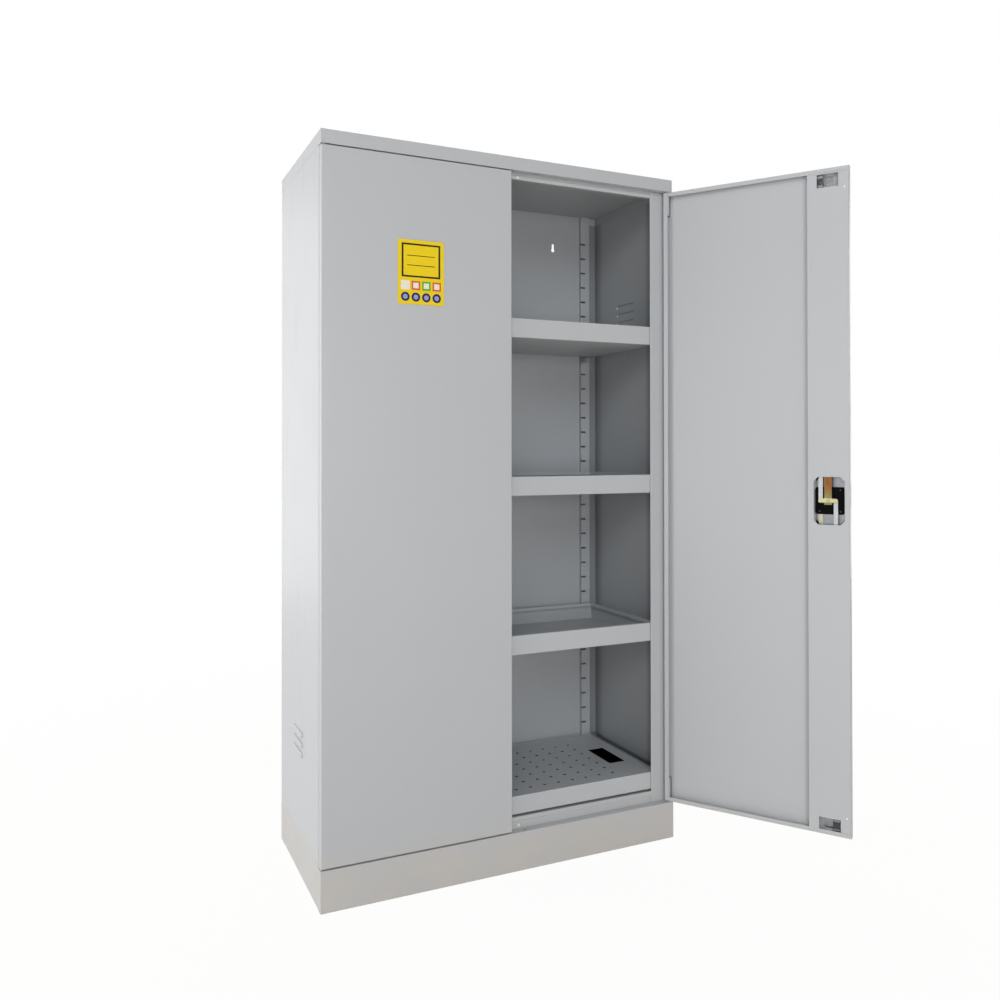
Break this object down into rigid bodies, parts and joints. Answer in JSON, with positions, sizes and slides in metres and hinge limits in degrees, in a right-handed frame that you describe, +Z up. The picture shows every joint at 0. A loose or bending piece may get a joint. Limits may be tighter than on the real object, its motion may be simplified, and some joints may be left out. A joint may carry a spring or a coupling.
{
  "type": "safety storage cabinet",
  "caption": "Tall two-door sheet-steel safety cabinet with spill-tray shelves, a perforated floor over a sump, a plinth, side louvres and a turn-grip rod lock.",
  "frame": {"origin": "middle of the cabinet's footprint at floor level, on the underside of the base rail", "axes": "+Z up, +X to the right of someone who faces the doors, the doors towards -Y and the back towards +Y"},
  "size_m": [1.3934, 0.9348, 2],
  "materials": {
    "paint": "semi-gloss light grey powder coat",
    "zinc": "bright zinc plate",
    "steel": "plain machined steel",
    "brass": "yellow passivated",
    "black_plastic": "fine-grained black moulding",
    "white_nylon": "white nylon",
    "sign": "yellow printed plate without lettering"
  },
  "bodies": {
    "cabinet": {"side_panel_left": "paint", "side_panel_right": "paint", "back_panel": "paint", "top_cap": "paint", "ceiling_panel": "paint", "header_rail": "paint", "sill_rail": "paint", "bottom_panel": "paint", "plinth_front": "paint", "plinth_back": "paint", "plinth_side_left": "paint", "plinth_side_right": "paint", "base_rail": "paint", "post_rear_left": "paint", "post_rear_right": "paint", "post_front_left": "paint", "post_front_right": "paint", "clip_1_rear_left": "zinc", "clip_1_rear_right": "zinc", "clip_1_front_left": "zinc", "clip_1_front_right": "zinc", "clip_2_rear_left": "zinc", "clip_2_rear_right": "zinc", "clip_2_front_left": "zinc", "clip_2_front_right": "zinc", "clip_3_rear_left": "zinc", "clip_3_rear_right": "zinc", "clip_3_front_left": "zinc", "clip_3_front_right": "zinc", "buffer_header_left": "white_nylon", "buffer_header_right": "white_nylon", "buffer_sill_left": "white_nylon", "buffer_sill_right": "white_nylon"},
    "door_left": {"door_left_skin": "paint", "door_left_channel": "paint", "pivot_left_top": "steel", "pivot_left_bottom": "steel", "sign_plate": "sign"},
    "door_right": {"door_right_skin": "paint", "door_right_channel": "paint", "pivot_right_top": "steel", "pivot_right_bottom": "steel", "lock_plate": "zinc", "lock_case": "black_plastic", "rod_guide_upper": "zinc", "rod_guide_lower": "zinc", "grip_rose": "black_plastic"},
    "handle": {"turn_grip": "black_plastic", "lock_spindle": "steel", "lock_cam": "brass"},
    "key": {"key_cylinder": "zinc"},
    "rod_upper": {"lock_rod_upper": "zinc"},
    "rod_lower": {"lock_rod_lower": "zinc"},
    "shelf_1": {"shelf_tray_1": "paint"},
    "shelf_2": {"shelf_tray_2": "paint"},
    "shelf_3": {"shelf_tray_3": "paint"},
    "sump": {"sump_tray": "paint"},
    "grid": {"perforated_floor": "paint"}
  },
  "joints": [
    {"name": "door_left_hinge", "type": "hinge", "parent": "cabinet", "child": "door_left", "pos_m": [-0.53, -0.241, 1.036], "axis": [0, 0, 1], "range_deg": [-180, 0]},
    {"name": "door_right_hinge", "type": "hinge", "parent": "cabinet", "child": "door_right", "pos_m": [0.53, -0.241, 1.036], "axis": [0, 0, 1], "range_deg": [-124.1, 55.9]},
    {"name": "handle_turn", "type": "hinge", "parent": "door_right", "child": "handle", "pos_m": [0.80039, -0.62431, 1.035], "axis": [0.8281, 0.5606, 0], "range_deg": [0, 90]},
    {"name": "key_turn", "type": "hinge", "parent": "handle", "child": "key", "pos_m": [0.80039, -0.62431, 1.035], "axis": [0.8281, 0.5606, 0], "range_deg": [0, 90]},
    {"name": "rod_upper_slide", "type": "slide", "parent": "door_right", "child": "rod_upper", "axis": [0, 0, 1], "range_m": [0, 0.02]},
    {"name": "rod_lower_slide", "type": "slide", "parent": "door_right", "child": "rod_lower", "axis": [0, 0, -1], "range_m": [0, 0.02]},
    {"name": "shelf_1_lift", "type": "slide", "parent": "cabinet", "child": "shelf_1", "axis": [0, 0, 1], "range_m": [0, 0.02]},
    {"name": "shelf_2_lift", "type": "slide", "parent": "cabinet", "child": "shelf_2", "axis": [0, 0, 1], "range_m": [0, 0.02]},
    {"name": "shelf_3_lift", "type": "slide", "parent": "cabinet", "child": "shelf_3", "axis": [0, 0, 1], "range_m": [0, 0.02]},
    {"name": "sump_lift", "type": "slide", "parent": "cabinet", "child": "sump", "axis": [0, 0, 1], "range_m": [0, 0.03]},
    {"name": "grid_lift", "type": "slide", "parent": "sump", "child": "grid", "axis": [0, 0, 1], "range_m": [0, 0.3]}
  ],
  "couplings": [
    {"joint": "rod_upper_slide", "follows": "handle_turn", "m_per_rad": 0.01273},
    {"joint": "rod_lower_slide", "follows": "handle_turn", "m_per_rad": 0.01273}
  ]
}
